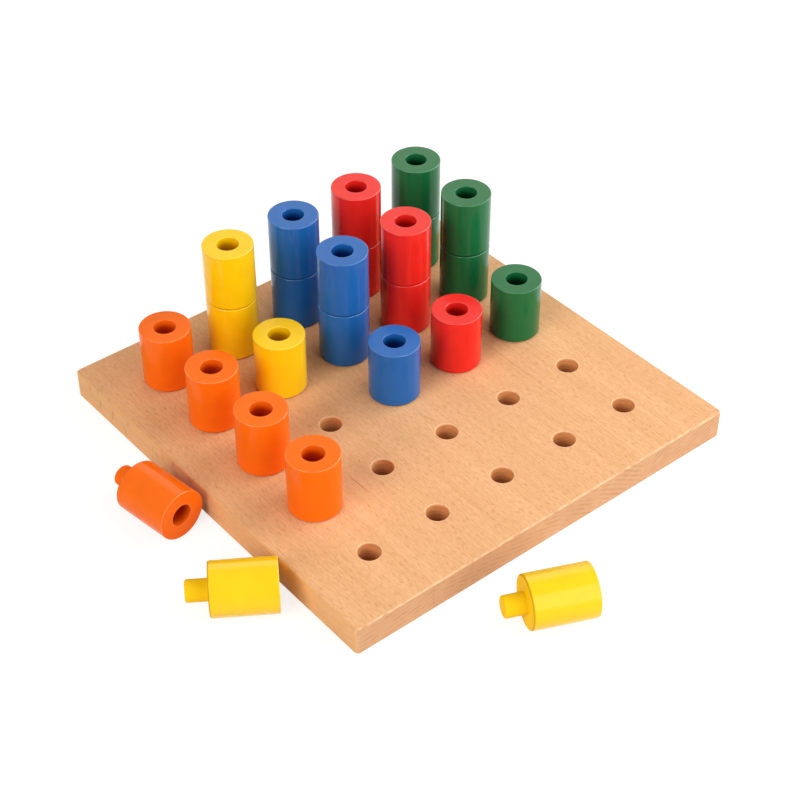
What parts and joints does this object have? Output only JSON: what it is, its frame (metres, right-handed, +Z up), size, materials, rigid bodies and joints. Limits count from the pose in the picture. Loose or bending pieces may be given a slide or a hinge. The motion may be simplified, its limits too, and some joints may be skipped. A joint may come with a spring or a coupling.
{
  "type": "peg sorting board",
  "caption": "Square wooden board with a grid of round holes and painted turned pegs that plug into it and stack on each other; a few pegs lie loose beside it.",
  "frame": {"origin": "centre of the board's underside", "axes": "+Z up through the board, +X along the board's grain, from the end with the stacks to the end with empty holes, +Y from the orange row to the green row"},
  "size_m": [0.3266, 0.314, 0.0906],
  "materials": {
    "beech": "clear satin oil on sanded beech",
    "orange_paint": "satin gloss paint on turned wood",
    "yellow_paint": "satin gloss paint on turned wood",
    "blue_paint": "satin gloss paint on turned wood",
    "red_paint": "satin gloss paint on turned wood",
    "green_paint": "satin gloss paint on turned wood"
  },
  "bodies": {
    "board": {"board": "beech"},
    "orange_peg_1": {"orange_peg_1": "orange_paint"},
    "orange_peg_2": {"orange_peg_2": "orange_paint"},
    "orange_peg_3": {"orange_peg_3": "orange_paint"},
    "orange_peg_4": {"orange_peg_4": "orange_paint"},
    "yellow_peg_1": {"yellow_peg_1": "yellow_paint"},
    "yellow_peg_2": {"yellow_peg_2": "yellow_paint"},
    "yellow_peg_3": {"yellow_peg_3": "yellow_paint"},
    "blue_peg_1": {"blue_peg_1": "blue_paint"},
    "blue_peg_2": {"blue_peg_2": "blue_paint"},
    "blue_peg_3": {"blue_peg_3": "blue_paint"},
    "blue_peg_4": {"blue_peg_4": "blue_paint"},
    "blue_peg_5": {"blue_peg_5": "blue_paint"},
    "red_peg_1": {"red_peg_1": "red_paint"},
    "red_peg_2": {"red_peg_2": "red_paint"},
    "red_peg_3": {"red_peg_3": "red_paint"},
    "red_peg_4": {"red_peg_4": "red_paint"},
    "red_peg_5": {"red_peg_5": "red_paint"},
    "green_peg_1": {"green_peg_1": "green_paint"},
    "green_peg_2": {"green_peg_2": "green_paint"},
    "green_peg_3": {"green_peg_3": "green_paint"},
    "green_peg_4": {"green_peg_4": "green_paint"},
    "green_peg_5": {"green_peg_5": "green_paint"},
    "orange_peg_5": {"orange_peg_5": "orange_paint"},
    "yellow_peg_4": {"yellow_peg_4": "yellow_paint"},
    "yellow_peg_5": {"yellow_peg_5": "yellow_paint"}
  },
  "joints": [
    {"name": "orange_peg_1_lift", "type": "slide", "parent": "board", "child": "orange_peg_1", "axis": [0, 0, 1], "range_m": [0, 0.015]},
    {"name": "orange_peg_2_lift", "type": "slide", "parent": "board", "child": "orange_peg_2", "axis": [0, 0, 1], "range_m": [0, 0.015]},
    {"name": "orange_peg_3_lift", "type": "slide", "parent": "board", "child": "orange_peg_3", "axis": [0, 0, 1], "range_m": [0, 0.015]},
    {"name": "orange_peg_4_lift", "type": "slide", "parent": "board", "child": "orange_peg_4", "axis": [0, 0, 1], "range_m": [0, 0.015]},
    {"name": "yellow_peg_1_lift", "type": "slide", "parent": "board", "child": "yellow_peg_1", "axis": [0, 0, 1], "range_m": [0, 0.015]},
    {"name": "yellow_peg_2_lift", "type": "slide", "parent": "yellow_peg_1", "child": "yellow_peg_2", "axis": [0, 0, 1], "range_m": [0, 0.015]},
    {"name": "yellow_peg_3_lift", "type": "slide", "parent": "board", "child": "yellow_peg_3", "axis": [0, 0, 1], "range_m": [0, 0.015]},
    {"name": "blue_peg_1_lift", "type": "slide", "parent": "board", "child": "blue_peg_1", "axis": [0, 0, 1], "range_m": [0, 0.015]},
    {"name": "blue_peg_2_lift", "type": "slide", "parent": "blue_peg_1", "child": "blue_peg_2", "axis": [0, 0, 1], "range_m": [0, 0.015]},
    {"name": "blue_peg_3_lift", "type": "slide", "parent": "board", "child": "blue_peg_3", "axis": [0, 0, 1], "range_m": [0, 0.015]},
    {"name": "blue_peg_4_lift", "type": "slide", "parent": "blue_peg_3", "child": "blue_peg_4", "axis": [0, 0, 1], "range_m": [0, 0.015]},
    {"name": "blue_peg_5_lift", "type": "slide", "parent": "board", "child": "blue_peg_5", "axis": [0, 0, 1], "range_m": [0, 0.015]},
    {"name": "red_peg_1_lift", "type": "slide", "parent": "board", "child": "red_peg_1", "axis": [0, 0, 1], "range_m": [0, 0.015]},
    {"name": "red_peg_2_lift", "type": "slide", "parent": "red_peg_1", "child": "red_peg_2", "axis": [0, 0, 1], "range_m": [0, 0.015]},
    {"name": "red_peg_3_lift", "type": "slide", "parent": "board", "child": "red_peg_3", "axis": [0, 0, 1], "range_m": [0, 0.015]},
    {"name": "red_peg_4_lift", "type": "slide", "parent": "red_peg_3", "child": "red_peg_4", "axis": [0, 0, 1], "range_m": [0, 0.015]},
    {"name": "red_peg_5_lift", "type": "slide", "parent": "board", "child": "red_peg_5", "axis": [0, 0, 1], "range_m": [0, 0.015]},
    {"name": "green_peg_1_lift", "type": "slide", "parent": "board", "child": "green_peg_1", "axis": [0, 0, 1], "range_m": [0, 0.015]},
    {"name": "green_peg_2_lift", "type": "slide", "parent": "green_peg_1", "child": "green_peg_2", "axis": [0, 0, 1], "range_m": [0, 0.015]},
    {"name": "green_peg_3_lift", "type": "slide", "parent": "board", "child": "green_peg_3", "axis": [0, 0, 1], "range_m": [0, 0.015]},
    {"name": "green_peg_4_lift", "type": "slide", "parent": "green_peg_3", "child": "green_peg_4", "axis": [0, 0, 1], "range_m": [0, 0.015]},
    {"name": "green_peg_5_lift", "type": "slide", "parent": "board", "child": "green_peg_5", "axis": [0, 0, 1], "range_m": [0, 0.015]},
    {"name": "orange_peg_5_lift", "type": "slide", "parent": "board", "child": "orange_peg_5", "axis": [0, 0, 1], "range_m": [0, 0.02]},
    {"name": "yellow_peg_4_lift", "type": "slide", "parent": "board", "child": "yellow_peg_4", "axis": [0, 0, 1], "range_m": [0, 0.02]},
    {"name": "yellow_peg_5_lift", "type": "slide", "parent": "board", "child": "yellow_peg_5", "axis": [0, 0, 1], "range_m": [0, 0.02]}
  ]
}
